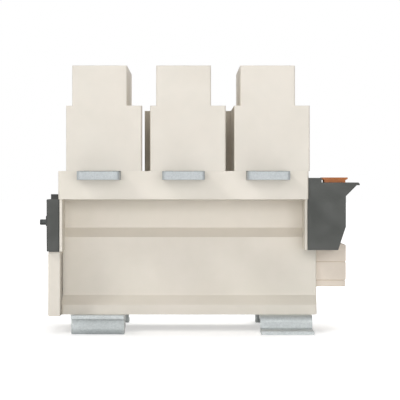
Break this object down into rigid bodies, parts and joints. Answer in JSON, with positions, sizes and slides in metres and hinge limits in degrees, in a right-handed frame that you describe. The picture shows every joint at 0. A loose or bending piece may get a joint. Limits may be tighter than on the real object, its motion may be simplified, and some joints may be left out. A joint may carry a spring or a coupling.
{
  "type": "three pole block contactor",
  "caption": "Block contactor lying on foot brackets: arc chutes on a terminal block, magnet housing, holder at the right.",
  "frame": {"origin": "on the mounting plate, in the middle of the four foot holes", "axes": "+X across the poles from left to right, +Y from line terminals to load terminals, +Z away from the mounting plate"},
  "size_m": [0.3107, 0.304, 0.2555],
  "materials": {
    "cream": "satin moulded, warm white",
    "chute_cream": "satin moulded, warm white",
    "dark": "fine matt moulded, dark grey",
    "black": "matt moulded, black",
    "orange": "satin moulded, burnt orange",
    "galvanised": "galvanised sheet, speckled",
    "plated_copper": "tinned copper bar, dull",
    "copper": "bright copper",
    "silver_tip": "silver alloy, matt",
    "laminated_steel": "stacked laminations, oiled",
    "arc_steel": "nickelled sheet",
    "fibre": "vulcanised fibre",
    "winding": "taped winding, varnished",
    "zinc_screw": "zinc plated",
    "steel_pin": "ground steel",
    "spring_steel": "spring wire",
    "brass": "machined",
    "buffer_rubber": "moulded"
  },
  "bodies": {
    "base": {"lower_housing": "cream", "pole_block": "cream", "left_cheek": "cream", "coil_box_base": "cream", "coil_box_body": "cream", "coil_box_cover": "cream", "arc_chute_left": "chute_cream", "arc_chute_middle": "chute_cream", "arc_chute_right": "chute_cream", "guide_cover": "dark", "aux_holder": "dark", "coil_bobbins": "black", "line_left_bracket": "galvanised", "line_right_bracket": "galvanised", "load_left_bracket": "galvanised", "load_right_bracket": "galvanised", "line_bar_left": "plated_copper", "line_bar_middle": "plated_copper", "line_bar_right": "plated_copper", "load_bar_left": "plated_copper", "load_bar_middle": "plated_copper", "load_bar_right": "plated_copper", "shading_rings": "copper", "arc_runners": "copper", "fixed_tips": "silver_tip", "fixed_core": "laminated_steel", "arc_plates_left": "arc_steel", "arc_plates_middle": "arc_steel", "arc_plates_right": "arc_steel", "plate_boards_left": "fibre", "plate_boards_middle": "fibre", "plate_boards_right": "fibre", "coil_windings": "winding", "bar_screws": "zinc_screw", "chute_screws": "zinc_screw", "block_screws": "zinc_screw", "side_screws": "zinc_screw", "bracket_screws": "zinc_screw", "lever_pin": "steel_pin", "contact_spring_left": "spring_steel", "contact_spring_middle": "spring_steel", "contact_spring_right": "spring_steel", "return_springs": "spring_steel", "coil_clamps": "brass", "coil_clamp_screws": "brass", "core_buffers": "buffer_rubber"},
    "carrier": {"crossbar": "black", "armature": "laminated_steel", "armature_screws": "zinc_screw", "drive_lug": "black", "drive_pin": "steel_pin"},
    "slide": {"aux_slide": "orange"},
    "lever": {"aux_lever": "black"},
    "bridge_left": {"contact_bridge_left": "copper", "moving_tips_left": "silver_tip"},
    "bridge_middle": {"contact_bridge_middle": "copper", "moving_tips_middle": "silver_tip"},
    "bridge_right": {"contact_bridge_right": "copper", "moving_tips_right": "silver_tip"}
  },
  "joints": [
    {"name": "carrier_slide", "type": "slide", "parent": "base", "child": "carrier", "axis": [0, 0, -1], "range_m": [0, 0.012], "stiffness_N_per_m": 3000, "springref_m": -0.02, "deforming": ["return_springs"]},
    {"name": "aux_slide_travel", "type": "slide", "parent": "base", "child": "slide", "axis": [0, 0, -1], "range_m": [0, 0.005]},
    {"name": "aux_lever_turn", "type": "hinge", "parent": "base", "child": "lever", "pos_m": [0.1385, 0, 0.11], "axis": [0, -1, 0], "range_deg": [0, 24.05]},
    {"name": "bridge_left_overtravel", "type": "slide", "parent": "carrier", "child": "bridge_left", "axis": [0, 0, 1], "range_m": [0, 0.003], "deforming": ["contact_spring_left"]},
    {"name": "bridge_middle_overtravel", "type": "slide", "parent": "carrier", "child": "bridge_middle", "axis": [0, 0, 1], "range_m": [0, 0.003], "deforming": ["contact_spring_middle"]},
    {"name": "bridge_right_overtravel", "type": "slide", "parent": "carrier", "child": "bridge_right", "axis": [0, 0, 1], "range_m": [0, 0.003], "deforming": ["contact_spring_right"]}
  ],
  "couplings": [
    {"joint": "aux_slide_travel", "follows": "carrier_slide", "ratio": 0.41667},
    {"joint": "aux_lever_turn", "follows": "carrier_slide", "rad_per_m": 34.978},
    {"joint": "bridge_left_overtravel", "follows": "carrier_slide", "ratio": 0.25},
    {"joint": "bridge_middle_overtravel", "follows": "carrier_slide", "ratio": 0.25},
    {"joint": "bridge_right_overtravel", "follows": "carrier_slide", "ratio": 0.25}
  ]
}
